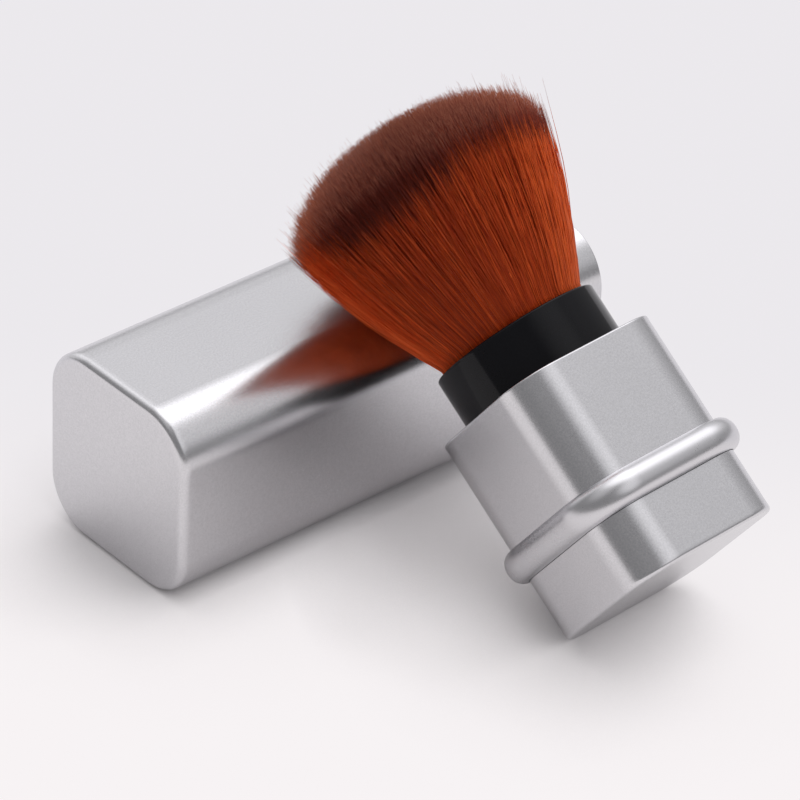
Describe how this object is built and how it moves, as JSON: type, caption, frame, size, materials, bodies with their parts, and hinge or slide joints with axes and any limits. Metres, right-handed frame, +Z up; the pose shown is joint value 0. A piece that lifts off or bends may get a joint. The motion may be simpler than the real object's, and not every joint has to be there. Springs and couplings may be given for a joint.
{
  "type": "retractable makeup brush",
  "caption": "Square satin aluminium powder brush with a sliding sleeve and a flared copper-coloured tuft, leaning on its square round-cornered cap.",
  "frame": {"origin": "middle of the flat side that the cap rests on", "axes": "+X along the cap's axis from its closed end to its mouth, +Z up, +Y from the brush's foot towards the cap"},
  "size_m": [0.077, 0.0841, 0.0664],
  "materials": {
    "satin_aluminium": "satin anodised",
    "polished_aluminium": "bright anodised",
    "natural_plastic": "moulded",
    "black_gloss_plastic": "glossy",
    "black_matte_plastic": "moulded",
    "black_rubber": "matte",
    "glue": "cured resin",
    "copper_hair": "synthetic fibre, dark at the tips",
    "plated_steel": "zinc plated"
  },
  "bodies": {
    "brush_core": {"base_shell": "satin_aluminium", "base_insert": "black_matte_plastic", "base_weight": "plated_steel", "base_screw": "plated_steel", "carrier": "black_matte_plastic", "ferrule": "black_gloss_plastic", "knot_plug": "glue", "bristle_tuft": "copper_hair"},
    "sleeve": {"sleeve_shell": "satin_aluminium", "ring_band": "polished_aluminium", "guide_sleeve": "black_matte_plastic", "retaining_plate": "black_matte_plastic", "slide_o_ring": "black_rubber"},
    "cap": {"cap_shell": "satin_aluminium", "cap_liner": "natural_plastic"}
  },
  "joints": [
    {"name": "sleeve_slide", "type": "slide", "parent": "brush_core", "child": "sleeve", "axis": [-0.0461, 0.7994, 0.599], "range_m": [0, 0.0136], "deforming": ["bristle_tuft"]},
    {"name": "cap_pull", "type": "slide", "parent": "brush_core", "child": "cap", "axis": [-1, 0, 0], "range_m": [0, 0.06]}
  ]
}
